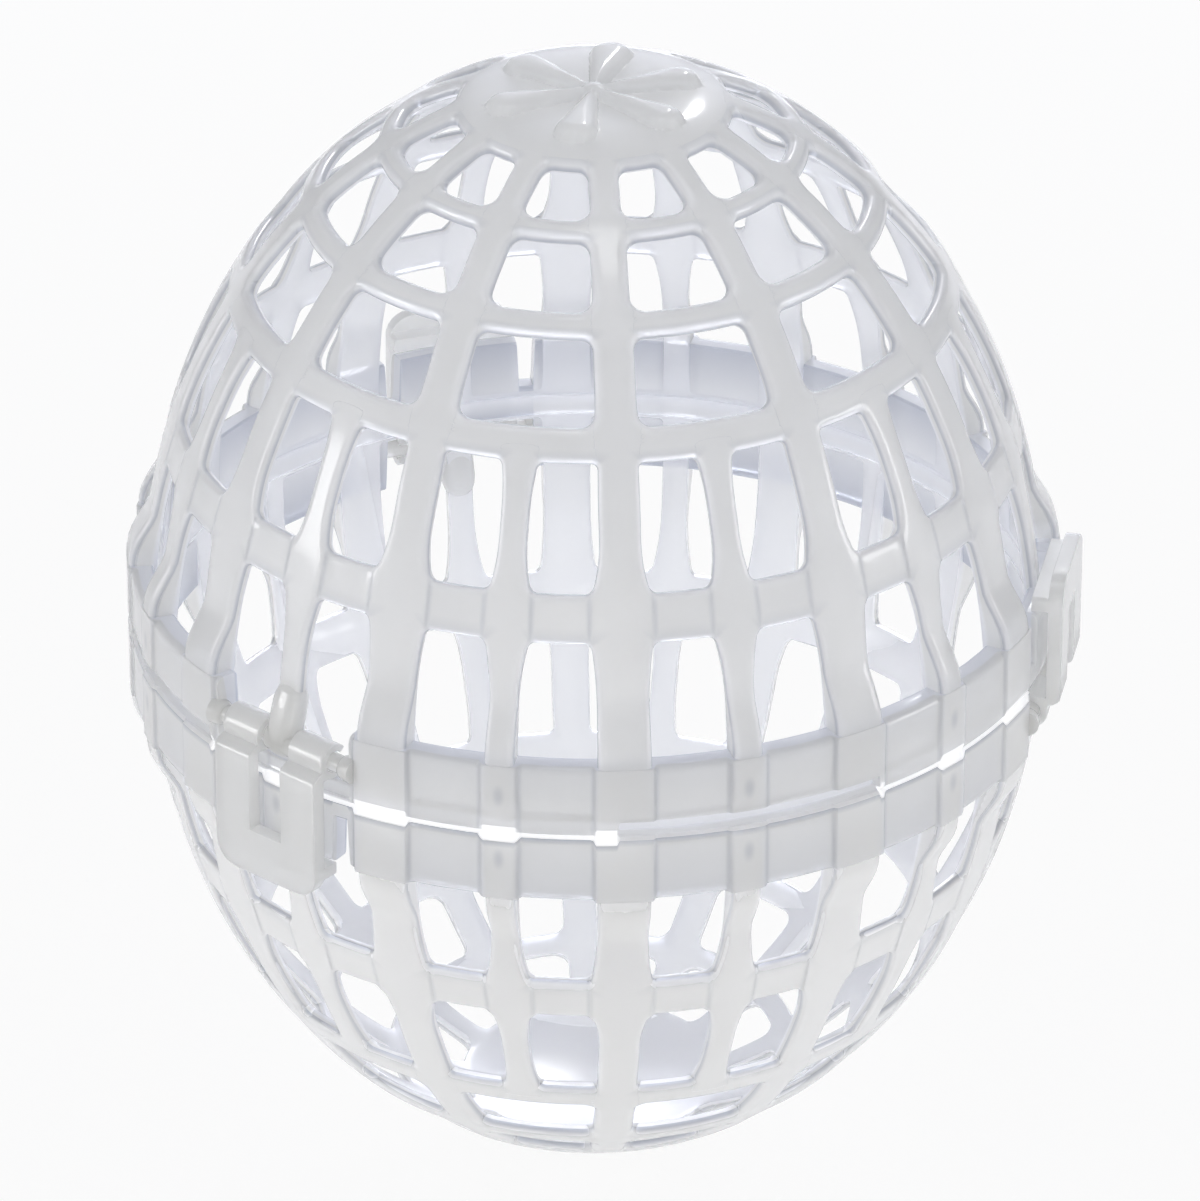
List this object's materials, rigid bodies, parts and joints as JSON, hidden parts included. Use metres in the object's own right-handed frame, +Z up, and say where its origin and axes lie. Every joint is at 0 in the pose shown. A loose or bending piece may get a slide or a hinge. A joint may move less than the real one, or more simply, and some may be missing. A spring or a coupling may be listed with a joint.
{
  "type": "delicates wash ball",
  "caption": "Egg-shaped lattice cage of two domed halves with a flat seam band, held shut by swinging clips, that keeps lingerie in shape in the wash.",
  "frame": {"origin": "centre of the hub of the foot star, on the ball's axis, in the plane that the ball stands on", "axes": "+Z up along the ball's axis, through both poles; the front is -Y and the right is +X"},
  "size_m": [0.1552, 0.1552, 0.1914],
  "materials": {
    "lower_shell": "natural milky translucent polypropylene, satin",
    "upper_shell": "natural milky translucent polypropylene, satin",
    "clips": "natural translucent polypropylene, a little clearer and glossier than the halves"
  },
  "bodies": {
    "lower": {"lower_shell": "lower_shell"},
    "upper": {"upper_shell": "upper_shell", "clip_back": "clips"},
    "clip_left": {"clip_left": "clips"},
    "clip_right": {"clip_right": "clips"}
  },
  "joints": [
    {"name": "lid_hinge", "type": "hinge", "parent": "lower", "child": "upper", "pos_m": [-0.01915, 0.07148, 0.0897], "axis": [-0.9659, -0.2588, 0], "range_deg": [0, 150]},
    {"name": "clip_left_hinge", "type": "hinge", "parent": "upper", "child": "clip_left", "pos_m": [-0.05233, -0.05233, 0.1017], "axis": [-0.7071, 0.7071, 0], "range_deg": [0, 120]},
    {"name": "clip_right_hinge", "type": "hinge", "parent": "lower", "child": "clip_right", "pos_m": [0.07148, -0.01915, 0.0897], "axis": [0.2588, 0.9659, 0], "range_deg": [0, 120]}
  ]
}
